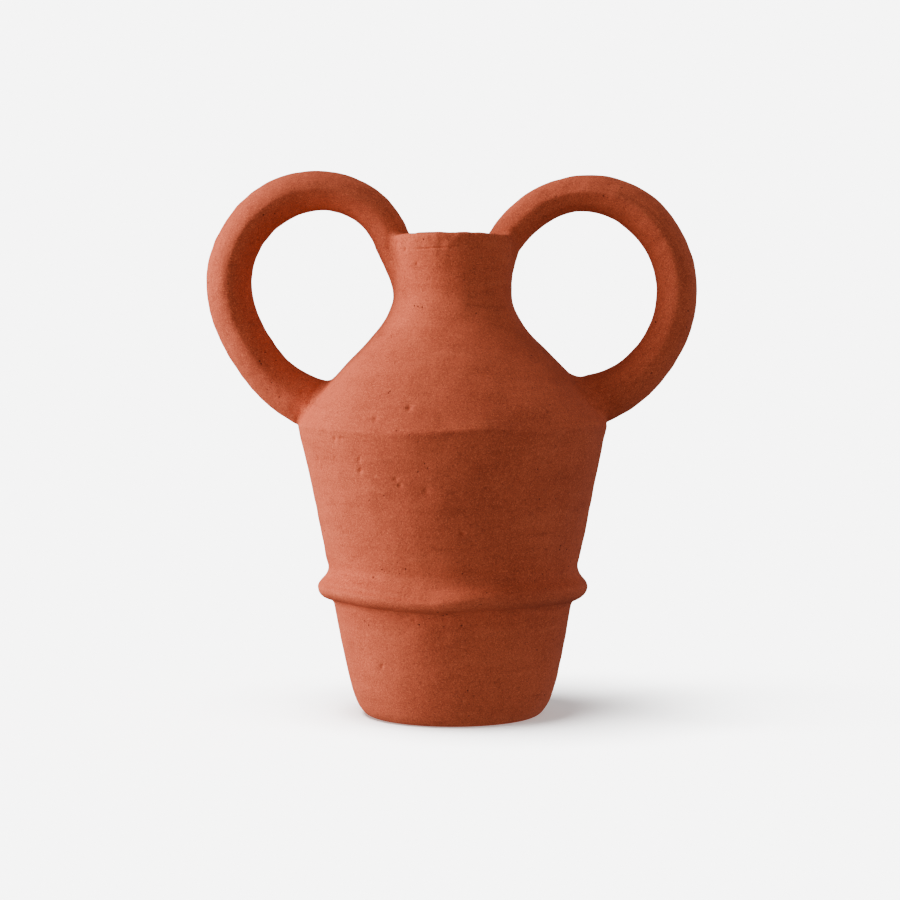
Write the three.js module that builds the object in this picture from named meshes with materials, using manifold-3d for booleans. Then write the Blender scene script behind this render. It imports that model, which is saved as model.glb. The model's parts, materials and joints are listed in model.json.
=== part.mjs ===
// A hand-built terracotta amphora with two ring handles, as the pieces of clay that a potter
// makes one by one and lutes together with slip.
// Millimetres, +Z up. The origin is the middle of the underside, on the axis of the body.
// The two handles lie in the XZ plane, and the body is a solid of revolution about Z.

import * as THREE from "three";
import { mergeVertices } from "three/addons/utils/BufferGeometryUtils.js";
import Module from "manifold-3d";

const { smoothstep, degToRad } = THREE.MathUtils;

// ---- Driving dimensions ----

const SLIP = 0.3; // layer of slip between two pieces
const WALL = 8; // thickness of the body's wall
const SLAB_TOP = 9.2; // upper face of the base slab
const WAIST_SEAM = 70; // height of the seam that the waist band covers
const CARINATION_SEAM = 157; // seam just under the sharp turn of the body
const THROAT_SEAM = 220.2; // seam where the shoulder becomes the neck
const RIM_SEAM = 255.5; // seam that shows as the scored line under the lip
const RIM_TOP = 264.3; // height of the lip
const BORE = 24.4; // inner radius of the neck

const BODY_FACETS = 40; // facets round the body
const HANDLE_FACETS = 16; // facets round a handle
const CURVE_STEPS = 4; // straight steps to each curve of an outline
const HANDLE_STEPS = 30; // steps along a handle
const LUTING_STEPS = 8; // steps along a piece of luting

// Each handle follows an egg-shaped loop round a hub. At the angle a from the direction of the
// body, its distance from the hub is radius + oval cos 2(a - ovalAt) + egg cos 3(a - eggAt).
const LEFT_LOOP = {
  side: -1,
  hub: { x: 70.7, z: 229.6 },
  radius: 55,
  oval: 5.8,
  ovalAt: -69.7,
  egg: 1.2,
  eggAt: 59,
  topThickness: 21,
  footThickness: 24.8,
};
const RIGHT_LOOP = {
  side: 1,
  hub: { x: 70.1, z: 229.2 },
  radius: 55.2,
  oval: 3.9,
  ovalAt: -67.1,
  egg: 0.9,
  eggAt: -48.7,
  topThickness: 19.2,
  footThickness: 22.8,
};
const THICKENS = { from: 75, to: 140 }; // degrees over which a handle thickens on its way down
const HANDLE_SPAN = { from: 8, to: 279 }; // from inside the neck to inside the shoulder

// Luting goes on between two angles of the loop. It is edge thick at its ends, and swell more
// at its thickest: in the middle of the upper root, and against the body at the lower one.
const TOP_LUTING = { from: 58, to: 2, edge: 0.8, swell: 4, shape: (t) => Math.sin(Math.PI * t) };
const FOOT_LUTING = { from: 238, to: 276, edge: 0.8, swell: 4.5, shape: (t) => t * t };

// ---- Outlines of the body, as (radius, height) ----

const outline = (r, z) => new THREE.Path().moveTo(r, z);

const OUTSIDE = {
  lowerWall: outline(54.5, SLAB_TOP + SLIP)
    .quadraticCurveTo(60.3, 26, 65.4, 61)
    .lineTo(66.8, WAIST_SEAM - SLIP / 2),
  upperWall: outline(66.85, WAIST_SEAM + SLIP / 2)
    .lineTo(68.9, 83)
    .lineTo(84.7, CARINATION_SEAM),
  shoulder: outline(84.8, CARINATION_SEAM + SLIP)
    .quadraticCurveTo(85.5, 160.3, 83.2, 163.4)
    .quadraticCurveTo(69.3, 182.8, 47, 205.8)
    .quadraticCurveTo(39.7, 213.3, 36, THROAT_SEAM),
  neck: outline(36, THROAT_SEAM + SLIP)
    .quadraticCurveTo(32.4, 227.4, 32.4, 233.5)
    .quadraticCurveTo(32.4, 244, 34.2, RIM_SEAM),
  rim: outline(34.2, RIM_SEAM + SLIP)
    .lineTo(34.6, 261)
    .quadraticCurveTo(34.8, RIM_TOP, 32, RIM_TOP),
};

const INSIDE = {
  lowerWall: outline(54.5 - WALL, SLAB_TOP + SLIP)
    .quadraticCurveTo(60.3 - WALL, 26, 65.4 - WALL, 61)
    .lineTo(66.8 - WALL, WAIST_SEAM - SLIP / 2),
  upperWall: outline(66.85 - WALL, WAIST_SEAM + SLIP / 2)
    .lineTo(68.9 - WALL, 83)
    .lineTo(84.7 - WALL, CARINATION_SEAM),
  shoulder: outline(84.8 - WALL, CARINATION_SEAM + SLIP)
    .lineTo(76.6, 158.7)
    .quadraticCurveTo(63.1, 177.7, 41.3, 200.2)
    .quadraticCurveTo(33.5, 208.2, 27.6, THROAT_SEAM),
  neck: outline(27.6, THROAT_SEAM + SLIP)
    .quadraticCurveTo(BORE, 227.5, BORE, 233.5)
    .lineTo(BORE, RIM_SEAM),
  rim: outline(BORE, RIM_SEAM + SLIP)
    .lineTo(BORE, 261.6)
    .quadraticCurveTo(BORE, RIM_TOP, 27, RIM_TOP),
};

const SLAB = outline(0, 0)
  .lineTo(46.5, 0)
  .quadraticCurveTo(51.2, 1, 54.4, SLAB_TOP)
  .lineTo(0, SLAB_TOP);

// The band's back follows the wall with a layer of slip between them.
const BAND = outline(65.87, 62)
  .lineTo(66.6, 62)
  .quadraticCurveTo(73.6, 66.2, 74.7, 71)
  .quadraticCurveTo(73.6, 75.2, 69.4, 79.6)
  .lineTo(68.7, 79.6)
  .lineTo(65.87, 62);

// ---- Solids of revolution ----

// Turns a list of (radius, height) points round the Z axis.
function revolve(points) {
  return new THREE.LatheGeometry(points, BODY_FACETS).rotateX(Math.PI / 2);
}

// A ring of wall: up its outside, down its inside and closed on its first point.
function wallRing(name) {
  const outside = OUTSIDE[name].getPoints(CURVE_STEPS);
  const inside = INSIDE[name].getPoints(CURVE_STEPS).reverse();
  return revolve([...outside, ...inside, outside[0]]);
}

// The body's outside above the waist with its hollow filled in and a layer of slip all over:
// what the roots of the handles are cut back to.
function filledBody() {
  const skin = ["upperWall", "shoulder", "neck", "rim"]
    .flatMap((name) => OUTSIDE[name].getPoints(CURVE_STEPS))
    .map(({ x, y }) => new THREE.Vector2(x + SLIP * Math.SQRT2, y + (y === RIM_TOP ? SLIP : 0)));
  const bottom = new THREE.Vector2(0, skin[0].y);
  const top = new THREE.Vector2(0, RIM_TOP + SLIP);
  return revolve([bottom, ...skin, top]);
}

// ---- Handles ----

// The middle line of a handle between two angles, in degrees, round its hub.
class HandleLine extends THREE.Curve {
  constructor(loop, from, to) {
    super();
    Object.assign(this, { loop, from, to });
  }

  angle(t) {
    return THREE.MathUtils.lerp(this.from, this.to, t);
  }

  getPoint(t, target = new THREE.Vector3()) {
    const { side, hub, radius, oval, ovalAt, egg, eggAt } = this.loop;
    const a = this.angle(t);
    const reach =
      radius +
      oval * Math.cos(degToRad(2 * (a - ovalAt))) +
      egg * Math.cos(degToRad(3 * (a - eggAt)));
    const across = reach * Math.cos(degToRad(a)) - hub.x;
    return target.set(-side * across, 0, hub.z + reach * Math.sin(degToRad(a)));
  }

  // Radius of the round bar at t.
  barRadius(t) {
    const { topThickness, footThickness } = this.loop;
    const thicker = smoothstep(this.angle(t), THICKENS.from, THICKENS.to);
    return THREE.MathUtils.lerp(topThickness, footThickness, thicker) / 2;
  }
}

// A closed bar along a handle line. radiusAt(t) gives its radius along the way.
function bentBar(line, steps, radiusAt) {
  const profile = [new THREE.Vector2(0, 0)];
  for (let i = 0; i <= steps; i++)
    profile.push(new THREE.Vector2(radiusAt(i / steps), i / steps));
  profile.push(new THREE.Vector2(0, 1));

  const bar = new THREE.LatheGeometry(profile, HANDLE_FACETS);
  const position = bar.getAttribute("position");
  const sideways = new THREE.Vector3(0, 1, 0);
  for (let i = 0; i < position.count; i++) {
    const t = position.getY(i);
    const outward = line.getTangent(t).cross(sideways);
    const place = line.getPoint(t)
      .addScaledVector(outward, position.getX(i))
      .addScaledVector(sideways, position.getZ(i));
    position.setXYZ(i, place.x, place.y, place.z);
  }
  return bar;
}

// ---- Joining and cutting ----

const wasm = await Module();
wasm.setup();

function toSolid(geometry) {
  const bare = geometry.clone().deleteAttribute("normal").deleteAttribute("uv");
  const merged = mergeVertices(bare, 1e-4);
  return new wasm.Manifold(
    new wasm.Mesh({
      numProp: 3,
      vertProperties: merged.getAttribute("position").array,
      triVerts: new Uint32Array(merged.index.array),
    }),
  );
}

function toGeometry(solid) {
  const { vertProperties, triVerts } = solid.getMesh();
  return new THREE.BufferGeometry()
    .setAttribute("position", new THREE.BufferAttribute(vertProperties, 3))
    .setIndex(new THREE.BufferAttribute(triVerts, 1));
}

const cutBack = toSolid(filledBody());
const aboveTheRim = 2 * RIM_TOP - THROAT_SEAM;
const mouth = toSolid(
  revolve([
    new THREE.Vector2(0, THROAT_SEAM),
    new THREE.Vector2(BORE, THROAT_SEAM),
    new THREE.Vector2(BORE, aboveTheRim),
    new THREE.Vector2(0, aboveTheRim),
  ]),
);

function handle(loop) {
  const line = new HandleLine(loop, HANDLE_SPAN.from, HANDLE_SPAN.to);
  const bar = bentBar(line, HANDLE_STEPS, (t) => line.barRadius(t));
  return toGeometry(toSolid(bar).subtract(cutBack));
}

// The clay pressed round a root: a swelling bar, with the handle, the body and the mouth taken
// out of it.
function luting(loop, { from, to, edge, swell, shape }) {
  const line = new HandleLine(loop, from, to);
  const thick = (t) => line.barRadius(t) + edge + swell * shape(t);
  const lump = bentBar(line, LUTING_STEPS, thick);
  const whole = new HandleLine(loop, HANDLE_SPAN.from, HANDLE_SPAN.to);
  const room = bentBar(whole, HANDLE_STEPS, (t) => whole.barRadius(t) + SLIP);
  return toGeometry(toSolid(lump).subtract(toSolid(room)).subtract(cutBack).subtract(mouth));
}

// ---- Pieces ----

const firedClay = (color) =>
  new THREE.MeshStandardMaterial({ color, roughness: 0.92, metalness: 0 });

const bodyClay = firedClay(0xb0573a);
const handleClay = firedClay(0xab5235);
const lutingClay = firedClay(0xa64e31);

function piece(name, geometry, material) {
  const mesh = new THREE.Mesh(geometry, material);
  mesh.name = name;
  return mesh;
}

const body = new THREE.Group();
body.add(
  piece("base_slab", revolve(SLAB.getPoints(CURVE_STEPS)), bodyClay),
  piece("lower_wall", wallRing("lowerWall"), bodyClay),
  piece("waist_band", revolve(BAND.getPoints(CURVE_STEPS)), bodyClay),
  piece("upper_wall", wallRing("upperWall"), bodyClay),
  piece("shoulder", wallRing("shoulder"), bodyClay),
  piece("neck", wallRing("neck"), bodyClay),
  piece("rim_coil", wallRing("rim"), bodyClay),
);

const handles = new THREE.Group();
for (const [hand, loop] of [["left", LEFT_LOOP], ["right", RIGHT_LOOP]])
  handles.add(
    piece(`${hand}_handle`, handle(loop), handleClay),
    piece(`${hand}_top_luting`, luting(loop, TOP_LUTING), lutingClay),
    piece(`${hand}_foot_luting`, luting(loop, FOOT_LUTING), lutingClay),
  );

const amphora = new THREE.Group();
amphora.add(body, handles);

export default amphora;
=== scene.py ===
import json
import math

import bpy
import numpy as np
from mathutils import Euler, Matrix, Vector

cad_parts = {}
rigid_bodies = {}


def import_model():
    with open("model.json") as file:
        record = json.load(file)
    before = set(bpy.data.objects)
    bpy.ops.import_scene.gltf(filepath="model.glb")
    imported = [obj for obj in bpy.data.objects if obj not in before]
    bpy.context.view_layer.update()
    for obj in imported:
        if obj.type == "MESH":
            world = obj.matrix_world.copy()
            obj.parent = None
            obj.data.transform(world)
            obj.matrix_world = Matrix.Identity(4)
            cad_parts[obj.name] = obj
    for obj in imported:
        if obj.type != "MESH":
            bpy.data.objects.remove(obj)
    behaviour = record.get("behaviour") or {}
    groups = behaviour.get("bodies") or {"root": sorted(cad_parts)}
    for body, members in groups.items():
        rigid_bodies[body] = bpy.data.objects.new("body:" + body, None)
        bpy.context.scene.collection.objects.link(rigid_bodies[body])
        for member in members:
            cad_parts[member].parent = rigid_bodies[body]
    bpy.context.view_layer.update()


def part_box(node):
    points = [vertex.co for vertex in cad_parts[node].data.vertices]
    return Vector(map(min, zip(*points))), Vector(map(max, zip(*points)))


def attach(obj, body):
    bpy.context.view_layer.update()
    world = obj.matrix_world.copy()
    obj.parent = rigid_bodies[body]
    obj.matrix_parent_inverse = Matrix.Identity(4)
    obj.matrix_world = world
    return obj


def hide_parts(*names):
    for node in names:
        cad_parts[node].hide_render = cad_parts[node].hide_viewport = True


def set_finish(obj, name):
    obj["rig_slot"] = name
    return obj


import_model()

bl_info = {
    "name": "Two-handled terracotta amphora",
    "version": (1, 0, 0),
    "blender": (4, 5, 0),
    "location": "3D View > Sidebar > Amphora",
    "description": "Makes the fired clay pieces of an amphora, and a plain studio round it",
    "category": "Add Mesh",
}

MM = 0.001
FULL_TURN = 2 * math.pi
SLOT = "terracotta"

RIM_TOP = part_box("rim_coil")[1].z / MM
SLAB_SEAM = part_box("base_slab")[1].z / MM
WAIST_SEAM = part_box("lower_wall")[1].z / MM
CARINATION_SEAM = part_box("upper_wall")[1].z / MM
THROAT_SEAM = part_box("shoulder")[1].z / MM
SCORED_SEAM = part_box("neck")[1].z / MM
BAND_FOOT = 61.3
BAND_MIDDLE = 71
BAND_GROOVE = 73.6
BAND_GROOVE_DEPTH = 0.9
BAND_HEAD = 82.5
CARINATION = 159
SCORED_LINE = 255.7
LIP_UNEVENNESS = 0.16

WALL_SLOPE = 0.217
BORE = 24.4
SLIP_GAP = 0.3

# The walls go on under the band as hidden edges: how far in from the band's edge they
# start, how far they lie behind the surface there, and how far at the seam of the walls.
UNDER_BAND = 2.5
BEHIND_BAND = 1.4
LOWER_BEHIND_SEAM = 0.9
UPPER_BEHIND_SEAM = 0.8

# The outline of the fired body in millimetres, from the middle of the underside, up the
# outside, over the lip and down the inside to the middle of the floor. Each stretch has
# the spacing of its points, a control point where it curves, and its end.
OUTSIDE = (
    (4.0, None, (46.0, 0.0)),
    (0.6, (48.3, 0.1), (50.5, 2.6)),
    (0.8, (53.2, 5.6), (56.0, 13.9)),
    (0.9, (60.5, 29.5), (65.3, 60.0)),
    (0.45, (65.6, 62.6), (67.4, 64.2)),
    (0.45, (74.3, 65.9), (74.6, 70.6)),
    (0.45, (74.7, 73.0), (72.2, 75.4)),
    (0.5, (68.0, 79.6), (69.0, 84.0)),
    (0.9, None, (85.2, 158.8)),
    (0.3, (85.65, 160.7), (84.6, 161.7)),
    (0.9, (70.4, 182.9), (47.0, 205.8)),
    (0.8, (39.7, 213.3), (36.0, 220.35)),
    (0.7, (32.4, 227.4), (32.4, 233.5)),
    (0.6, (32.4, 244.0), (34.2, 254.6)),
    (0.35, None, (34.6, 261.0)),
    (0.35, (34.8, RIM_TOP), (32.0, RIM_TOP)),
    (0.6, None, (27.0, RIM_TOP)),
)
INSIDE = (
    (0.4, (BORE, RIM_TOP), (BORE, 261.6)),
    (1.2, None, (BORE, 233.5)),
    (1.2, (BORE, 227.5), (27.6, 220.35)),
    (2.0, (33.5, 208.2), (41.3, 200.2)),
    (3.0, (63.1, 177.7), (76.6, 158.7)),
    (4.0, None, (60.8, 83.0)),
    (4.0, None, (57.4, 61.0)),
    (4.0, (52.3, 26.0), (46.5, SLAB_SEAM)),
    (6.0, None, (3.0, SLAB_SEAM)),
)

# Each handle's loop, in millimetres and degrees. The hub is given by its distance from the
# axis of the body and its height. At the angle a from the direction of the body, the middle
# line is radius + oval cos 2(a - oval_at) + egg cos 3(a - egg_at) from the hub, less the
# tuck near the lip. The two thicknesses are near the lip and round the outside, and the
# flare is what the foot adds.
LOOPS = {
    "left": {
        "side": -1,
        "hub": (70.7, 229.6),
        "radius": 55.0,
        "oval": (5.8, -69.7),
        "egg": (1.2, 59.0),
        "thickness": (21.0, 24.8),
        "flare": 2.2,
        "tuck": 2.3,
    },
    "right": {
        "side": 1,
        "hub": (70.1, 229.2),
        "radius": 55.2,
        "oval": (3.9, -67.1),
        "egg": (0.9, -48.7),
        "thickness": (19.2, 22.8),
        "flare": 5.0,
        "tuck": -1.0,
    },
}
# Where a loop changes, in degrees from the direction of the body, over the top and down to
# the foot: the middle and width of the tuck, and the stretches in which the section goes
# from round to ridged, thickens and flares.
TUCKS = (36.0, 17.0)
RIDGES = (40.0, 120.0)
THICKENS = (75.0, 140.0)
FLARES = (205.0, 256.0)

# The wavelength in millimetres and the random seed of each kind of unevenness.
LUMPS = (46, 3)
SMALL_LUMPS = (13, 5)
STREAKS = (9, 11)
SMEARS = (7, 17)
LIP_LUMPS = (7, 23)

# The point at which the softbox is aimed, and how far the studio reaches, in metres.
AIM = Vector((0.0, 0.0, 0.17))
STUDIO_REACH = 4.0


# ---- Properties ----


class BodyProperties(bpy.types.PropertyGroup):
    columns: bpy.props.IntProperty(
        name="Columns", description="Faces round the body", default=640, min=32
    )
    lumps: bpy.props.FloatProperty(
        name="Lumps",
        description="Height of the broad unevenness that hands leave in clay",
        default=0.30 * MM,
        subtype="DISTANCE",
    )
    rings: bpy.props.FloatProperty(
        name="Throwing rings",
        description="Height of the level rings that turning leaves in the wall",
        default=0.09 * MM,
        subtype="DISTANCE",
    )
    score: bpy.props.FloatProperty(
        name="Scored line",
        description="Depth of the line scored under the lip",
        default=0.45 * MM,
        subtype="DISTANCE",
    )


class HandleProperties(bpy.types.PropertyGroup):
    columns: bpy.props.IntProperty(
        name="Columns", description="Faces round a handle", default=112, min=16
    )
    rows: bpy.props.IntProperty(
        name="Rows", description="Faces along a handle", default=340, min=32
    )
    ridge: bpy.props.FloatProperty(
        name="Ridge",
        description="Power of the section: 2 is round, and less has a soft ridge at front and back",
        default=1.62,
        min=1.2,
        max=2.0,
    )
    streaks: bpy.props.FloatProperty(
        name="Streaks",
        description="Height of the streaks that pulling leaves along a handle",
        default=0.12 * MM,
        subtype="DISTANCE",
    )
    smears: bpy.props.FloatProperty(
        name="Smears",
        description="Height of the finger marks near the roots",
        default=0.17 * MM,
        subtype="DISTANCE",
    )


class ClayProperties(bpy.types.PropertyGroup):
    fired: bpy.props.FloatVectorProperty(
        name="Fired clay",
        description="Colour of the clay",
        subtype="COLOR",
        size=3,
        default=(0.60, 0.165, 0.096),
    )
    roughness: bpy.props.FloatProperty(
        name="Roughness",
        description="Roughness of the clay",
        default=0.86,
        min=0,
        max=1,
        subtype="FACTOR",
    )


class StudioProperties(bpy.types.PropertyGroup):
    camera_distance: bpy.props.FloatProperty(
        name="Camera distance",
        description="From the camera to the axis of the body",
        default=1.152,
        subtype="DISTANCE",
    )
    camera_height: bpy.props.FloatProperty(
        name="Camera height",
        description="Height of the camera above the floor",
        default=0.1926,
        subtype="DISTANCE",
    )
    camera_side: bpy.props.FloatProperty(
        name="Camera side",
        description="How far the camera stands to the right of the axis of the body",
        default=-0.0017,
        subtype="DISTANCE",
    )
    lens: bpy.props.FloatProperty(
        name="Lens",
        description="Focal length in millimetres",
        default=83.33,
        subtype="DISTANCE_CAMERA",
    )
    pitch: bpy.props.FloatProperty(
        name="Pitch",
        description="How far the camera looks down",
        default=math.radians(2.31),
        subtype="ANGLE",
    )
    key: bpy.props.FloatProperty(name="Key", description="Strength of the key", default=7.7)
    fill: bpy.props.FloatProperty(
        name="Fill", description="Strength of the light from above", default=0.27
    )
    bounce: bpy.props.FloatProperty(
        name="Bounce", description="Strength of the light from below", default=0.185
    )
    pale: bpy.props.FloatProperty(
        name="Backdrop", description="Brightness of the backdrop", default=2.449
    )


# ---- Outlines ----


def quadratic(start, control, end, share):
    """Points on the curve at each share of the way from start to end."""
    rest = 1 - share
    return rest**2 * start + 2 * rest * share * control + share**2 * end


def trace(start, stretches):
    """Points along an outline, as an array of (radius, height)."""
    points = [np.array([start])]
    for spacing, control, end in stretches:
        begin = points[-1][-1]
        end = np.array(end)
        middle = (begin + end) / 2 if control is None else np.array(control)
        length = np.linalg.norm(middle - begin) + np.linalg.norm(end - middle)
        steps = max(1, round(length / spacing))
        share = np.linspace(0, 1, steps + 1)[1:, None]
        points.append(quadratic(begin, middle, end, share))
    return np.concatenate(points)


def smoothstep(low, high, value):
    """0 at low and 1 at high, with a smooth change between them."""
    share = np.clip((value - low) / (high - low), 0, 1)
    return share**2 * (3 - 2 * share)


def bell(value, middle, width):
    """1 at the middle, falling away smoothly over the width."""
    return np.exp(-(((value - middle) / width) ** 2))


# ---- Hand-made unevenness, in millimetres ----


def ripples(points, wavelength, seed, waves=28):
    """A smooth random height at each point, mostly between -1 and 1."""
    chance = np.random.default_rng(seed)
    total = np.zeros(points.shape[:-1])
    for _ in range(waves):
        direction = chance.normal(size=3)
        direction /= np.linalg.norm(direction)
        length = wavelength * chance.uniform(0.7, 1.5)
        total += np.sin(points @ direction * (FULL_TURN / length) + chance.uniform(0, FULL_TURN))
    return total / math.sqrt(waves)


# Small gouges in the wall: the angle from the front in degrees, the height, and the width
# and depth of the mark.
GOUGES = (
    (-49.5, 255.2, 1.0, 0.64),
    (-36.6, 247.5, 0.9, 0.50),
    (-17.1, 170.9, 1.4, 0.96),
    (-30.3, 165.3, 1.3, 0.64),
    (-48.2, 154.2, 1.1, 0.80),
    (-44.8, 154.5, 1.0, 0.64),
    (-62.2, 142.8, 1.2, 0.80),
    (-50.0, 143.5, 1.0, 0.64),
    (-36.9, 144.1, 1.0, 0.80),
    (-37.2, 137.9, 1.1, 0.96),
    (-60.2, 138.4, 1.0, 0.64),
    (-22.0, 134.1, 1.2, 0.64),
    (-20.4, 130.7, 1.1, 0.64),
    (-10.3, 128.0, 1.7, 0.48),
    (24.5, 134.0, 1.5, 0.64),
    (39.9, 127.0, 1.7, 0.64),
    (3.5, 105.5, 1.2, 1.12),
    (-18.4, 59.0, 0.9, 0.45),
    (-38.7, 33.0, 1.0, 0.80),
    (155.0, 131.0, 1.3, 0.80),
    (-140.0, 148.0, 1.2, 0.80),
    (170.0, 42.0, 1.1, 0.80),
)


def worked(points, strokes, lumps, streaks):
    """How far the clay stands proud at each point of a surface.

    Strokes are the same points along and across the way the hands moved. Lumps and streaks
    are the heights of the unevenness."""
    height = lumps * ripples(points, *LUMPS)
    height += lumps * 0.28 * ripples(points, *SMALL_LUMPS)
    height += streaks * ripples(strokes, *STREAKS)
    return height


def grid_normals(grid):
    """Unit normals of a grid of points whose columns close on themselves."""
    along = np.gradient(grid, axis=0)
    around = (np.roll(grid, -1, axis=1) - np.roll(grid, 1, axis=1)) / 2
    normals = np.cross(around, along)
    length = np.linalg.norm(normals, axis=2, keepdims=True)
    return normals / np.maximum(length, 1e-12)


# ---- Meshes ----


def closed_ring(name, rows, normals, strokes, poles=None):
    """A closed mesh from rows of points round an axis.

    The last row joins the first, or with poles each end row closes on its pole."""
    count, columns = rows.shape[:2]
    points = rows.reshape(-1, 3)
    ring = np.arange(count * columns).reshape(count, columns)
    lower = ring if poles is None else ring[:-1]
    upper = np.roll(ring, -1, axis=0) if poles is None else ring[1:]
    faces = np.stack(
        [lower, np.roll(lower, -1, axis=1), np.roll(upper, -1, axis=1), upper], axis=2
    ).reshape(-1, 4)
    corners = faces.ravel()
    sizes = np.full(len(faces), 4)
    normals = normals.reshape(-1, 3)
    strokes = strokes.reshape(-1, 3)
    if poles is not None:
        first, last = len(points), len(points) + 1
        points = np.vstack([points, poles])
        normals = np.vstack([normals, normals[0], normals[-1]])
        strokes = np.vstack([strokes, poles])
        bottom, top = ring[0], ring[-1]
        fans = [
            np.stack([np.full(columns, first), np.roll(bottom, -1), bottom], axis=1),
            np.stack([np.full(columns, last), top, np.roll(top, -1)], axis=1),
        ]
        corners = np.concatenate([corners, *[fan.ravel() for fan in fans]])
        sizes = np.concatenate([sizes, np.full(2 * columns, 3)])
    mesh = bpy.data.meshes.new(name)
    mesh.vertices.add(len(points))
    mesh.vertices.foreach_set("co", (points * MM).ravel())
    mesh.loops.add(len(corners))
    mesh.loops.foreach_set("vertex_index", corners)
    mesh.polygons.add(len(sizes))
    mesh.polygons.foreach_set("loop_start", np.concatenate([[0], np.cumsum(sizes)[:-1]]))
    mesh.polygons.foreach_set("loop_total", sizes)
    mesh.update(calc_edges=True)
    attribute = mesh.attributes.new("stroke", "FLOAT_VECTOR", "POINT")
    attribute.data.foreach_set("vector", (strokes * MM).ravel())
    if mesh.validate():
        raise RuntimeError(f"{name}: the mesh has faces that can't stand")
    mesh.normals_split_custom_set_from_vertices(normals)
    piece = bpy.data.objects.new(name, mesh)
    bpy.context.scene.collection.objects.link(piece)
    return piece


def settle(piece, *nodes):
    """Puts a finished clay piece in the place of its CAD nodes."""
    piece.data.materials.append(fired_clay())
    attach(piece, "root")
    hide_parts(*nodes)
    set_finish(piece, SLOT)


# ---- Body ----


def carination_wander(angle):
    """How far the sharp turn of the body rises and falls round the front and back."""
    degrees = np.degrees(angle)
    front = 0.8 * bell(degrees, 10, 9) - 3 * bell(degrees, -20, 28) - 1.8 * bell(degrees, 30, 16)
    back = 1.6 * np.cos(3 * angle + 1) * smoothstep(100, 130, np.abs(degrees))
    return front + back


def band_wander(angle):
    """How far the waist band rises and falls on its way round."""
    degrees = np.degrees(angle)
    dip = -2.6 * bell(degrees, -14, 17)
    rise = 0.9 * bell(degrees, -58, 16) + 1.0 * bell(degrees, 38, 26)
    back = 1.4 * np.cos(3 * angle) * smoothstep(95, 135, np.abs(degrees))
    return dip + rise + back


def body_strokes(points):
    """Points squeezed level, because the wall was worked round and round."""
    return points * (0.15, 0.15, 1.0)


def scored_line(height, angle):
    """The line scored under the lip, faint but at the front left: 1 at its deepest."""
    degrees = np.degrees(angle)
    line = bell(height + 0.25 * np.sin(9 * angle), SCORED_LINE, 0.5)
    return line * (0.25 + 0.75 * smoothstep(-42, -30, degrees) * smoothstep(4, -4, degrees))


def pressed_groove(level, angle):
    """The groove pressed along the band, front left: 1 at its deepest."""
    return bell(level, BAND_GROOVE, 1.5) * bell(np.degrees(angle), -38, 36)


def make_skin(body):
    """The whole surface of the body: its points and normals, and the two outlines."""
    outside = trace((3.0, 0.0), OUTSIDE)
    inside = trace(tuple(outside[-1]), INSIDE)[1:]
    profile = np.concatenate([outside, inside])
    is_outside = (np.arange(len(profile)) < len(outside))[:, None]
    turn = np.arange(body.columns) / body.columns * FULL_TURN - math.pi
    radius, angle = np.meshgrid(profile[:, 0], turn, indexing="ij")
    level = np.repeat(profile[:, 1][:, None], body.columns, axis=1)
    shift = carination_wander(angle) * bell(level, CARINATION, 8)
    shift += band_wander(angle) * bell(level, BAND_MIDDLE, 10)
    shift = shift * is_outside
    radius = radius + WALL_SLOPE * shift
    height = level + shift
    grid = np.stack([radius * np.sin(angle), -radius * np.cos(angle), height], axis=2)
    normals = grid_normals(grid)
    proud = worked(grid, body_strokes(grid), body.lumps / MM, body.rings / MM)
    proud -= scored_line(height, angle) * is_outside * body.score / MM
    for where, gouge_height, width, depth in GOUGES:
        across = (np.degrees(angle) - where) * radius * math.pi / 180
        gouge = bell(np.hypot(across, height - gouge_height), 0, width)
        proud -= depth * gouge * is_outside
    proud -= BAND_GROOVE_DEPTH * pressed_groove(level, angle) * is_outside
    proud += LIP_UNEVENNESS * ripples(grid, *LIP_LUMPS) * smoothstep(249, 259, height)
    # The underside stays flat.
    proud *= smoothstep(0.0, 6.0, height)
    grid = grid + normals * proud[..., None]
    return {
        "points": grid,
        "normals": grid_normals(grid),
        "outside": outside,
        "inside": inside,
    }


def nearest_row(outline, height):
    """The row of an outline that is nearest to a height."""
    return int(np.argmin(np.abs(outline[:, 1] - height)))


def hidden_row(radius, height, columns):
    """A level ring of points."""
    turn = np.arange(columns) / columns * FULL_TURN - math.pi
    return np.stack(
        [radius * np.sin(turn), -radius * np.cos(turn), np.full(columns, height)], axis=1
    )


def body_piece(name, skin, low, high, below=(), above=()):
    """A closed ring of wall between two heights.

    Below and above are hidden rows, as (radius, height), that go on under the band."""
    outside, inside = skin["outside"], skin["inside"]
    first, last = nearest_row(outside, low), nearest_row(outside, high)
    count = len(outside)
    inner_low = below[0][1] if below else low
    inner_high = above[-1][1] if above else high
    inner_first = count + nearest_row(inside, inner_high)
    inner_last = count + nearest_row(inside, inner_low)
    columns = skin["points"].shape[1]
    under = [hidden_row(radius, height, columns)[None] for radius, height in below]
    over = [hidden_row(radius, height, columns)[None] for radius, height in above]
    outer = slice(first, last + 1)
    inner = slice(inner_first, inner_last + 1)
    points, normals = skin["points"], skin["normals"]
    rows = np.concatenate([*under, points[outer], *over, points[inner]])
    upright = np.zeros((1, columns, 3)) + (0, 0, 1)
    facing = np.concatenate(
        [*[upright] * len(under), normals[outer], *[upright] * len(over), normals[inner]]
    )
    return closed_ring(name, rows, facing, body_strokes(rows))


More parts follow.
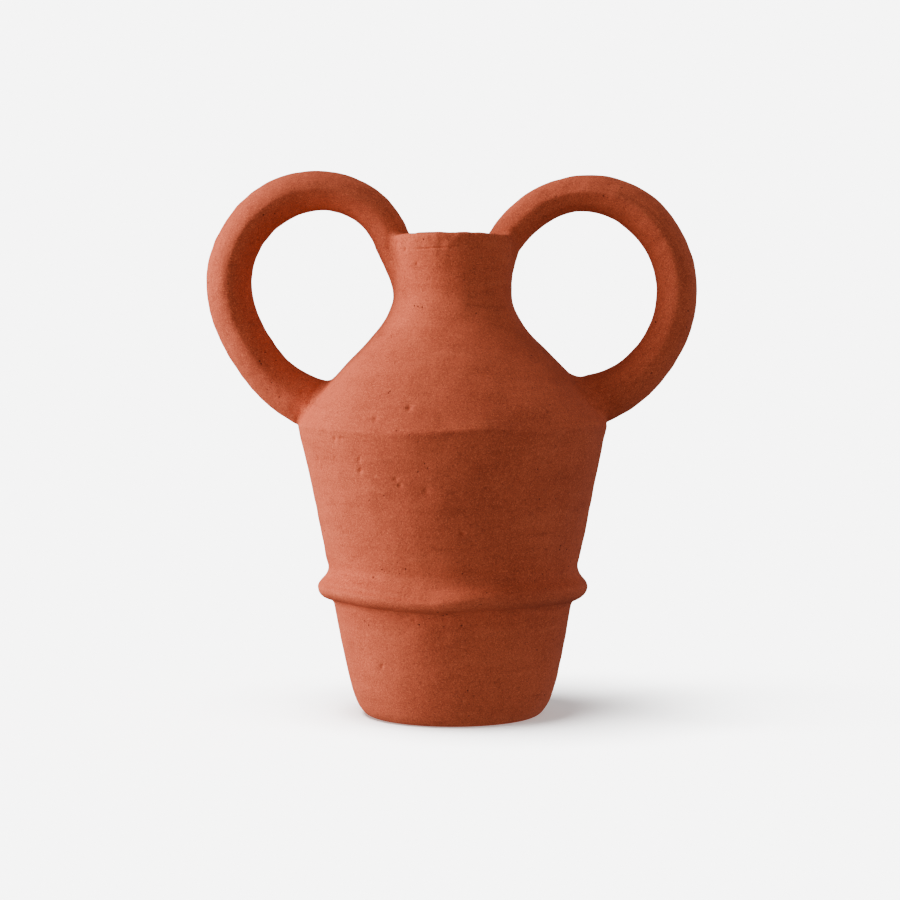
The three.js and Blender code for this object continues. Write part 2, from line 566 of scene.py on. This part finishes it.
def make_base_slab(skin):
    """The round slab that the amphora stands on."""
    outside, inside = skin["outside"], skin["inside"]
    last = nearest_row(outside, SLAB_SEAM)
    floor = len(outside) + nearest_row(inside, SLAB_SEAM)
    keep = np.r_[0 : last + 1, floor : len(skin["points"])]
    rows, normals = skin["points"][keep], skin["normals"][keep]
    poles = np.array([(0, 0, 0), (0, 0, rows[-1, 0, 2])])
    return closed_ring("base_slab_fired", rows, normals, body_strokes(rows), poles)


def make_band(skin):
    """The raised band, with a plain back against the walls."""
    outside = skin["outside"]
    first, last = nearest_row(outside, BAND_FOOT), nearest_row(outside, BAND_HEAD)
    rows = skin["points"][first : last + 1]
    normals = skin["normals"][first : last + 1]
    share = np.linspace(0, 1, 6)[1:-1, None, None]
    back = rows[-1] + (rows[0] - rows[-1]) * share
    inwards = np.zeros_like(back)
    inwards[..., :2] = -back[..., :2]
    inwards /= np.linalg.norm(inwards, axis=2, keepdims=True)
    back = back + inwards * SLIP_GAP
    rows = np.concatenate([rows, back])
    normals = np.concatenate([normals, inwards])
    return closed_ring("waist_band_fired", rows, normals, body_strokes(rows))


def make_rim(skin):
    """The lip above the scored line."""
    outside, inside = skin["outside"], skin["inside"]
    first = nearest_row(outside, SCORED_SEAM)
    last = len(outside) + nearest_row(inside, SCORED_SEAM)
    rows = skin["points"][first : last + 1]
    normals = skin["normals"][first : last + 1]
    return closed_ring("rim_coil_fired", rows, normals, body_strokes(rows))


# ---- Handles ----


def filled_outline():
    """The outside from the upper wall to the top of the lip, closed across the mouth.

    It sinks a little in the mouth, so that the top roots reach just below the lip there."""
    outside = trace((3.0, 0.0), OUTSIDE)
    below_handles = 100
    upper = outside[outside[:, 1] > below_handles]
    mouth = [(25, RIM_TOP - 1.5), (20, RIM_TOP - 3.5), (0, RIM_TOP - 4.5)]
    return np.vstack([(0, upper[0, 1]), upper[:-1:2], mouth])


def distance_to_body(points, outline):
    """Distance of each point from the filled body, less than 0 inside it."""
    radius = np.hypot(points[..., 0], points[..., 1])
    height = points[..., 2]
    nearest = np.full(radius.shape, np.inf)
    inside = np.zeros(radius.shape, bool)
    for (r0, z0), (r1, z1) in zip(outline[:-1], outline[1:]):
        dr, dz = r1 - r0, z1 - z0
        share = ((radius - r0) * dr + (height - z0) * dz) / (dr * dr + dz * dz)
        share = np.clip(share, 0, 1)
        gap = np.hypot(radius - r0 - share * dr, height - z0 - share * dz)
        nearest = np.minimum(nearest, gap)
        if z0 != z1:
            crosses = (z0 > height) != (z1 > height)
            meets = r0 + (height - z0) / (z1 - z0) * dr
            inside ^= crosses & (radius < meets)
    return np.where(inside, -nearest, nearest)


def loop_points(loop, degrees, turn, lift, ridge):
    """Points on a handle at an angle of its loop and a turn of its section.

    Lift is how far they stand off its surface. Turn 0 is away from the hub."""
    angle = np.radians(degrees)
    oval, oval_at = loop["oval"]
    egg, egg_at = loop["egg"]
    twice = 2 * np.radians(degrees - oval_at)
    thrice = 3 * np.radians(degrees - egg_at)
    reach = loop["radius"] + oval * np.cos(twice) + egg * np.cos(thrice)
    reach = reach - loop["tuck"] * bell(degrees, *TUCKS)
    growth = -2 * oval * np.sin(twice) - 3 * egg * np.sin(thrice)
    forward = np.stack(
        [growth * np.cos(angle) - reach * np.sin(angle),
         growth * np.sin(angle) + reach * np.cos(angle)]
    )
    forward /= np.linalg.norm(forward, axis=0)
    outward = np.stack([forward[1], -forward[0]])
    slim, stout = loop["thickness"]
    half = (slim + (stout - slim) * smoothstep(*THICKENS, degrees)) / 2
    flares, flared = FLARES
    half = half + loop["flare"] / 2 * np.clip((degrees - flares) / (flared - flares), 0, 1.1) ** 2
    power = 2 / (2 - (2 - ridge) * smoothstep(*RIDGES, degrees))
    across = np.sign(np.cos(turn)) * np.abs(np.cos(turn)) ** power
    deep = np.sign(np.sin(turn)) * np.abs(np.sin(turn)) ** power
    span = np.hypot(across, deep)
    scale = (half * span + lift) / span
    hub_x, hub_z = loop["hub"]
    x = reach * np.cos(angle) + outward[0] * across * scale
    z = reach * np.sin(angle) + outward[1] * across * scale
    side = loop["side"]
    return np.stack([-side * (x - hub_x), -deep * scale + 0 * x, hub_z + z], axis=-1)


# The two roots of a handle: an angle of the loop inside the body, one that is clear of it,
# and how deep the end of the handle lies in the wall.
ROOTS = {
    "top": {"inner": -30.0, "outer": 75.0, "buried": 1.0},
    "foot": {"inner": 290.0, "outer": 215.0, "buried": 1.6},
}
# How many times the search for the surface halves the stretch between the two angles.
HALVINGS = 22


def where_it_meets(loop, turn, lift, gap, place, outline, ridge):
    """The angle of the loop at which points of a handle stand a gap off the body."""
    deep = np.full(np.broadcast(turn, lift).shape, place["inner"])
    clear = np.full(deep.shape, place["outer"])
    for _ in range(HALVINGS):
        middle = (deep + clear) / 2
        points = loop_points(loop, middle, turn, lift, ridge)
        outside = distance_to_body(points, outline) > gap
        clear = np.where(outside, middle, clear)
        deep = np.where(outside, deep, middle)
    return (deep + clear) / 2


# The sweep of the luting round each root, in millimetres: on the side away from the hub,
# at the front and back, and on the side of the hub.
SWEEPS = {
    ("left", "top"): (1.5, 3.0, 1.2),
    ("right", "top"): (1.5, 3.5, 2.5),
    ("left", "foot"): (1.2, 5.0, 3.5),
    ("right", "foot"): (1.2, 6.0, 5.0),
}


# The edges of the luting dive under the wall, where they spread a little, and run on up
# under the skin of the handle. Two rows deep inside close the ring. In millimetres.
UNDER_WALL = 0.7
SPREAD = 0.25
UP_HANDLE = 0.9
UNDER_HANDLE = 0.5
DEEP_IN_WALL = 1.3
DEEP_IN_HANDLE = 1.5


def handle_strokes(loop, degrees, turn, lift=0.0):
    """Points straightened and squeezed lengthwise, because a handle is pulled."""
    along = np.radians(degrees) * loop["radius"]
    squeezed = along * 0.07
    apart = loop["side"] * 40
    half_thickness = 11 + lift
    return np.stack(
        [squeezed + apart + 0 * turn,
         np.cos(turn) * half_thickness + 0 * along,
         np.sin(turn) * half_thickness + 0 * along],
        axis=-1,
    )


def fingered(rows, strokes, flip, smeared, handle, body):
    """Rows of points with their unevenness, their normals and their strokes.

    Flip is -1 where the rows run the other way round, and smeared is the share of the
    finger marks."""
    proud = worked(rows, strokes, body.lumps / MM, handle.streaks / MM)
    proud += handle.smears / MM * smeared * ripples(rows, *SMEARS)
    rows = rows + flip * grid_normals(rows) * proud[..., None]
    normals = flip * grid_normals(rows)
    if flip < 0:
        return rows[:, ::-1], normals[:, ::-1], strokes[:, ::-1]
    return rows, normals, strokes


def make_handle(side, handle, body):
    """One ring handle, from just inside the lip to just inside the wall."""
    loop = LOOPS[side]
    outline = filled_outline()
    turn = np.arange(handle.columns) / handle.columns * FULL_TURN
    ends = {
        root: where_it_meets(loop, turn, 0 * turn, -place["buried"], place, outline, handle.ridge)
        for root, place in ROOTS.items()
    }
    share = np.linspace(0, 1, handle.rows)[:, None]
    degrees = ends["top"] + (ends["foot"] - ends["top"]) * share
    turns = turn + 0 * share
    rows = loop_points(loop, degrees, turns, 0.0, handle.ridge)
    strokes = handle_strokes(loop, degrees, turns)
    from_end = np.minimum(degrees - ends["top"], ends["foot"] - degrees)
    near_root = 1 - smoothstep(3.0, 22.0, from_end)
    rows, normals, strokes = fingered(
        rows, strokes, loop["side"], 0.4 + 0.6 * near_root, handle, body
    )
    poles = np.array([rows[0].mean(axis=0), rows[-1].mean(axis=0)])
    return closed_ring(f"{side}_handle_fired", rows, normals, strokes, poles)


def make_luting(side, root, handle, body):
    """The clay smoothed round one root, in a hollow curve from the wall to the handle."""
    loop = LOOPS[side]
    place = ROOTS[root]
    away, beside, hubward = SWEEPS[side, root]
    turn = np.arange(handle.columns) / handle.columns * FULL_TURN
    facing = np.cos(turn)
    sweep = beside + (away - beside) * np.clip(facing, 0, 1) ** 2
    sweep = sweep + (hubward - beside) * np.clip(-facing, 0, 1) ** 2
    arc = np.linspace(0, math.pi / 2, 16)[:, None]
    gap = sweep * (1 - np.cos(arc))
    lift = sweep * (1 - np.sin(arc))
    gap = np.vstack(
        [gap[:1] - UNDER_WALL, gap, gap[-1:] + UP_HANDLE, gap[-1:] + UP_HANDLE,
         gap[:1] - DEEP_IN_WALL]
    )
    lift = np.vstack(
        [lift[:1] + SPREAD, lift, lift[-1:] - UNDER_HANDLE, lift[-1:] - DEEP_IN_HANDLE,
         lift[-1:] - DEEP_IN_HANDLE]
    )
    turns = turn + 0 * gap
    degrees = where_it_meets(loop, turns, lift, gap, place, filled_outline(), handle.ridge)
    rows = loop_points(loop, degrees, turns, lift, handle.ridge)
    strokes = handle_strokes(loop, degrees, turns, lift)
    flip = loop["side"] * (-1 if root == "foot" else 1)
    rows, normals, strokes = fingered(rows, strokes, flip, 1.0, handle, body)
    return closed_ring(f"{side}_{root}_luting_fired", rows, normals, strokes)


# ---- Clay ----


class Reading:
    """A number that varies over a surface. Python's operators on it add Math nodes."""

    def __init__(self, tree, socket):
        self.tree = tree
        self.socket = socket

    def math(self, operation, *values):
        return self.tree.node("ShaderNodeMath", {"operation": operation}, dict(enumerate(values)))

    def __add__(self, other):
        return self.math("ADD", self, other)

    __radd__ = __add__

    def __sub__(self, other):
        return self.math("SUBTRACT", self, other)

    def __rsub__(self, other):
        return self.math("SUBTRACT", other, self)

    def __mul__(self, other):
        return self.math("MULTIPLY", self, other)

    __rmul__ = __mul__

    def clipped(self):
        return self.tree.node(
            "ShaderNodeMath", {"operation": "ADD", "use_clamp": True}, {0: self, 1: 0.0}
        )


class Tree:
    """The nodes of a material or of the world."""

    def __init__(self, owner):
        owner.use_nodes = True
        self.nodes = owner.node_tree.nodes
        self.links = owner.node_tree.links
        self.nodes.clear()

    def node(self, kind, settings, sockets, output=0):
        """Adds a node, sets it, then sets or links its sockets, and returns one output."""
        made = self.nodes.new(kind)
        for name, value in settings.items():
            setattr(made, name, value)
        for name, value in sockets.items():
            if isinstance(value, Reading):
                self.links.new(value.socket, made.inputs[name])
            else:
                made.inputs[name].default_value = value
        if not len(made.outputs):
            return None
        return Reading(self, made.outputs[output])

    def noise(self, vector, scale, detail=3.0, roughness=0.55):
        """A reading that varies by chance, mostly between 0.3 and 0.7."""
        return self.node(
            "ShaderNodeTexNoise",
            {},
            {"Vector": vector, "Scale": scale, "Detail": detail, "Roughness": roughness},
            "Fac",
        )

    def steps(self, reading, low, high):
        """0 below low and 1 above high, with a smooth rise between them."""
        return self.node(
            "ShaderNodeMapRange",
            {"interpolation_type": "SMOOTHSTEP"},
            {"Value": reading, "From Min": low, "From Max": high},
            "Result",
        )

    def mix(self, share, first, second):
        """A colour that share of the way from the first to the second."""
        return self.node(
            "ShaderNodeMix",
            {"data_type": "RGBA"},
            {0: share, 6: first, 7: second},
            2,
        )


def shade(colour, factor, warmth=0.0):
    """A colour made lighter or darker, and redder with warmth."""
    red, green, blue = colour
    return (red * factor, green * factor * (1 - warmth), blue * factor * (1 - warmth), 1.0)


def fired_clay():
    """The one material of the amphora: unglazed clay, with the marks of its making, and painted
    shade in its pores and creases.
    """
    found = bpy.data.materials.get("fired_clay")
    if found:
        return found
    clay = bpy.context.scene.amphora_clay
    material = bpy.data.materials.new("fired_clay")
    tree = Tree(material)
    place = tree.node("ShaderNodeTexCoord", {}, {}, "Object")
    stroke = tree.node("ShaderNodeAttribute", {"attribute_name": "stroke"}, {}, "Vector")
    cloud = tree.noise(place, 22.0, 4.0)
    blotch = tree.noise(place, 70.0, 3.0)
    drag = tree.noise(stroke, 190.0, 4.0, 0.6)
    sand = tree.noise(place, 560.0, 2.0, 0.6)
    grain = tree.noise(place, 1500.0, 2.0, 0.7)
    # Pores: small pits that the bump sinks. The colour darkens them too, which is painted shade in
    # the pits.
    pores = tree.node(
        "ShaderNodeTexVoronoi", {"feature": "F1"}, {"Vector": place, "Scale": 240.0}, "Distance"
    )
    pore_chance = tree.steps(tree.noise(place, 60.0, 2.0), 0.53, 0.66)
    pore = tree.steps(pores, 0.15, 0.06) * pore_chance
    # Creases: thin scratch lines that the bump sinks. The colour darkens them too, which is painted
    # shade in the scratches.
    drift = tree.noise(place, 330.0, 2.0) - 0.5
    crease_chance = tree.steps(tree.noise(place, 170.0, 2.0), 0.57, 0.66)
    crease = tree.steps(drift * drift, 0.0005, 0.0001) * crease_chance
    base = tuple(clay.fired)
    colour = tree.mix(tree.steps(cloud, 0.30, 0.70), shade(base, 0.92, 0.04), shade(base, 1.08))
    tints = (
        (tree.steps(drag, 0.54, 0.72), 0.32, 1.22, -0.10),
        (tree.steps(drag, 0.47, 0.28), 0.42, 0.74, 0.10),
        (tree.steps(blotch, 0.56, 0.72), 0.20, 0.78, 0.04),
        (tree.steps(sand, 0.52, 0.70), 0.25, 1.30, -0.12),
        (tree.steps(sand, 0.48, 0.30), 0.25, 0.70, 0.08),
        (tree.steps(grain, 0.52, 0.70), 0.55, 1.50, -0.22),
        (tree.steps(grain, 0.48, 0.30), 0.50, 0.55, 0.10),
        # Painted shade in the creases.
        (crease, 0.15, 0.60, 0.10),
        # Painted shade in the pores.
        (pore, 0.75, 0.30, 0.15),
    )
    for where, share, factor, warmth in tints:
        colour = tree.mix(where * share, colour, shade(base, factor, warmth))
    height = drag * 0.10 + sand * 0.20 + grain * 0.22 - pore * 0.45 - crease * 0.14
    bump = tree.node(
        "ShaderNodeBump", {}, {"Strength": 1.0, "Distance": 0.9 * MM, "Height": height}, "Normal"
    )
    roughness = clay.roughness + (grain - 0.5) * 0.2 - (cloud - 0.5) * 0.1
    shader = tree.node(
        "ShaderNodeBsdfPrincipled",
        {},
        {
            "Base Color": colour,
            "Roughness": roughness.clipped(),
            "Normal": bump,
            "Specular IOR Level": 0.3,
        },
        "BSDF",
    )
    tree.node("ShaderNodeOutputMaterial", {}, {"Surface": shader})
    return material


# ---- Studio ----


def plain_stage_material(name, glow, reflects):
    """Pale paper that glows by itself and also takes light and shadow."""
    material = bpy.data.materials.new(name)
    tree = Tree(material)
    light = tree.node(
        "ShaderNodeEmission", {}, {"Color": (1.0, 1.0, 1.0, 1.0), "Strength": glow}, "Emission"
    )
    paper = tree.node(
        "ShaderNodeBsdfDiffuse", {}, {"Color": (reflects, reflects, reflects, 1.0)}, "BSDF"
    )
    both = tree.node("ShaderNodeAddShader", {}, {0: light, 1: paper}, "Shader")
    tree.node("ShaderNodeOutputMaterial", {}, {"Surface": both})
    material.cycles.emission_sampling = "NONE"
    return material


def stage_disc(name, outline, columns, material):
    """An open surface of revolution for the floor or the backdrop, in metres."""
    turn = np.arange(columns) / columns * FULL_TURN
    points = [
        (radius * math.cos(a), radius * math.sin(a), height)
        for radius, height in outline
        for a in turn
    ]
    faces = [
        (
            row * columns + column,
            row * columns + (column + 1) % columns,
            (row + 1) * columns + (column + 1) % columns,
            (row + 1) * columns + column,
        )
        for row in range(len(outline) - 1)
        for column in range(columns)
    ]
    mesh = bpy.data.meshes.new(name)
    mesh.from_pydata(points, [], faces)
    mesh.materials.append(material)
    made = bpy.data.objects.new(name, mesh)
    made.visible_diffuse = False
    made.visible_glossy = False
    made.visible_shadow = False
    return made


def aimed(data, azimuth, elevation, receivers):
    """A light turned to shine from an azimuth, 0 in front and positive to the right."""
    made = bpy.data.objects.new(data.name, data)
    az, el = math.radians(azimuth), math.radians(elevation)
    towards = Vector((math.sin(az) * math.cos(el), -math.cos(az) * math.cos(el), math.sin(el)))
    made.rotation_euler = towards.to_track_quat("Z", "Y").to_euler()
    bpy.context.scene.collection.objects.link(made)
    made.light_linking.receiver_collection = receivers
    return made, towards


def sun(name, azimuth, elevation, strength, spread, receivers):
    """A soft light from far away. Angles are in degrees."""
    data = bpy.data.lights.new(name, "SUN")
    data.energy = strength
    data.angle = math.radians(spread)
    return aimed(data, azimuth, elevation, receivers)[0]


def softbox(name, azimuth, elevation, distance, size, radiance, receivers):
    """A tall soft light, its size in metres, aimed at the middle of the amphora."""
    data = bpy.data.lights.new(name, "AREA")
    data.shape = "RECTANGLE"
    data.size, data.size_y = size
    data.energy = radiance * math.pi * data.size * data.size_y
    made, towards = aimed(data, azimuth, elevation, receivers)
    made.location = AIM + towards * distance
    return made


def collection_of(name, objects):
    """A new collection that holds the objects, for lights that shine on them alone."""
    made = bpy.data.collections.new(name)
    bpy.context.scene.collection.children.link(made)
    for piece in objects:
        made.objects.link(piece)
    return made


def make_floor_and_backdrop(scene, studio):
    """The round floor, and the tall round backdrop with its top. It returns the floor."""
    pinhole = 0.001
    rim = (STUDIO_REACH, 0.0)
    columns = 64
    floor_paper = plain_stage_material("floor_paper", glow=0.26, reflects=0.8)
    floor = stage_disc("floor", ((pinhole, 0.0), rim), columns, floor_paper)
    backdrop_paper = plain_stage_material("backdrop_paper", glow=studio.pale, reflects=0.0)
    outline = (rim, (STUDIO_REACH, STUDIO_REACH), (pinhole, STUDIO_REACH))
    backdrop = stage_disc("backdrop", outline, columns, backdrop_paper)
    for made in (floor, backdrop):
        scene.collection.objects.link(made)
    return floor


def light_by_lamps(studio, pieces, floor):
    """The key and the weak lights for the clay, and a high one for the floor's shadow."""
    clay = collection_of("amphora", pieces)
    stage = collection_of("stage", [floor])
    softbox(
        "key", -86, 20, distance=1.6, size=(0.56, 2.56), radiance=studio.key, receivers=clay
    )
    sun("floor_key", -60, 75, strength=8.04, spread=40, receivers=stage)
    sun("low_left", -60, -25, strength=0.575, spread=60, receivers=clay)
    sun("front_right", 30, 10, strength=0.36, spread=60, receivers=clay)
    sun("low_right", 120, -25, strength=0.15, spread=60, receivers=clay)
    sun("edge", 110, 8, strength=0.24, spread=40, receivers=clay)


def light_from_all_round(scene, studio):
    """A weak white light from everywhere, changing from the bounce below to the fill above."""
    world = bpy.data.worlds.new("studio_fill")
    scene.world = world
    tree = Tree(world)
    way = tree.node("ShaderNodeTexCoord", {}, {}, "Generated")
    rise = tree.node("ShaderNodeSeparateXYZ", {}, {"Vector": way}, "Z")
    strength = tree.node(
        "ShaderNodeMapRange",
        {"interpolation_type": "SMOOTHSTEP"},
        {
            "Value": rise,
            "From Min": -0.5,
            "From Max": 0.5,
            "To Min": studio.bounce,
            "To Max": studio.fill,
        },
        "Result",
    )
    white = (1.0, 1.0, 1.0, 1.0)
    fill = tree.node(
        "ShaderNodeBackground", {}, {"Color": white, "Strength": strength}, "Background"
    )
    tree.node("ShaderNodeOutputWorld", {}, {"Surface": fill})


def place_camera(scene, studio):
    """The camera in front of the amphora, looking slightly down."""
    data = bpy.data.cameras.new("camera")
    data.lens = studio.lens
    data.sensor_width = 36.0
    camera = bpy.data.objects.new("camera", data)
    camera.location = (studio.camera_side, -studio.camera_distance, studio.camera_height)
    camera.rotation_euler = Euler((math.pi / 2 - studio.pitch, 0.0, 0.0))
    scene.collection.objects.link(camera)
    scene.camera = camera


# ---- Operators ----


class MakeBody(bpy.types.Operator):
    """Make the base slab, the walls, the shoulder, the neck and the rim coil"""

    bl_idname = "amphora.make_body"
    bl_label = "Make the body"

    def execute(self, context):
        skin = make_skin(context.scene.amphora_body)
        settle(make_base_slab(skin), "base_slab")
        foot_radius = skin["outside"][nearest_row(skin["outside"], BAND_FOOT), 0]
        head_radius = skin["outside"][nearest_row(skin["outside"], BAND_HEAD), 0]
        lower_edge = (
            (foot_radius - BEHIND_BAND, BAND_FOOT + UNDER_BAND),
            (foot_radius - LOWER_BEHIND_SEAM, WAIST_SEAM),
        )
        upper_edge = (
            (foot_radius - UPPER_BEHIND_SEAM, WAIST_SEAM + SLIP_GAP),
            (head_radius - BEHIND_BAND, BAND_HEAD - UNDER_BAND),
        )
        lower = body_piece("lower_wall_fired", skin, SLAB_SEAM, BAND_FOOT, above=lower_edge)
        settle(lower, "lower_wall")
        upper = body_piece("upper_wall_fired", skin, BAND_HEAD, CARINATION_SEAM, below=upper_edge)
        settle(upper, "upper_wall")
        settle(body_piece("shoulder_fired", skin, CARINATION_SEAM, THROAT_SEAM), "shoulder")
        settle(body_piece("neck_fired", skin, THROAT_SEAM, SCORED_SEAM), "neck")
        settle(make_rim(skin), "rim_coil")
        return {"FINISHED"}


class MakeBand(bpy.types.Operator):
    """Make the raised band round the waist"""

    bl_idname = "amphora.make_band"
    bl_label = "Make the waist band"

    def execute(self, context):
        skin = make_skin(context.scene.amphora_body)
        settle(make_band(skin), "waist_band")
        return {"FINISHED"}


class MakeHandles(bpy.types.Operator):
    """Make the two ring handles"""

    bl_idname = "amphora.make_handles"
    bl_label = "Make the handles"

    def execute(self, context):
        scene = context.scene
        for side in LOOPS:
            handle = make_handle(side, scene.amphora_handle, scene.amphora_body)
            settle(handle, f"{side}_handle")
        return {"FINISHED"}


class MakeLuting(bpy.types.Operator):
    """Make the clay that is smoothed round the four roots of the handles"""

    bl_idname = "amphora.make_luting"
    bl_label = "Make the luting"

    def execute(self, context):
        scene = context.scene
        for side, root in SWEEPS:
            luting = make_luting(side, root, scene.amphora_handle, scene.amphora_body)
            settle(luting, f"{side}_{root}_luting")
        return {"FINISHED"}


class MakeStudio(bpy.types.Operator):
    """Make the pale floor and backdrop, the soft lights and the camera"""

    bl_idname = "amphora.make_studio"
    bl_label = "Make the studio"

    def execute(self, context):
        scene = context.scene
        studio = scene.amphora_studio
        pieces = [made for made in scene.objects if made.get("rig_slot") == SLOT]
        if not pieces:
            raise RuntimeError("the studio comes after the clay pieces")
        floor = make_floor_and_backdrop(scene, studio)
        light_by_lamps(studio, pieces, floor)
        light_from_all_round(scene, studio)
        place_camera(scene, studio)
        scene.view_settings.view_transform = "AgX"
        scene.view_settings.look = "AgX - High Contrast"
        return {"FINISHED"}


class AmphoraPanel(bpy.types.Panel):
    """Lists the steps of the making, and the sizes and colours that they use"""

    bl_idname = "VIEW3D_PT_amphora"
    bl_label = "Amphora"
    bl_space_type = "VIEW_3D"
    bl_region_type = "UI"
    bl_category = "Amphora"

    def draw(self, context):
        for operator in OPERATORS:
            self.layout.operator(operator.bl_idname)
        for name in GROUPS:
            group = getattr(context.scene, name)
            for field in group.__annotations__:
                self.layout.prop(group, field)


GROUPS = {
    "amphora_body": BodyProperties,
    "amphora_handle": HandleProperties,
    "amphora_clay": ClayProperties,
    "amphora_studio": StudioProperties,
}
OPERATORS = (MakeBody, MakeBand, MakeHandles, MakeLuting, MakeStudio)


def register():
    for kind in (*GROUPS.values(), *OPERATORS, AmphoraPanel):
        bpy.utils.register_class(kind)
    for name, kind in GROUPS.items():
        setattr(bpy.types.Scene, name, bpy.props.PointerProperty(type=kind))


def unregister():
    for name in GROUPS:
        delattr(bpy.types.Scene, name)
    for kind in reversed((*GROUPS.values(), *OPERATORS, AmphoraPanel)):
        bpy.utils.unregister_class(kind)


def main():
    """Makes everything."""
    register()
    bpy.ops.amphora.make_body()
    bpy.ops.amphora.make_band()
    bpy.ops.amphora.make_handles()
    bpy.ops.amphora.make_luting()
    bpy.ops.amphora.make_studio()


if __name__ == "__main__":
    main()
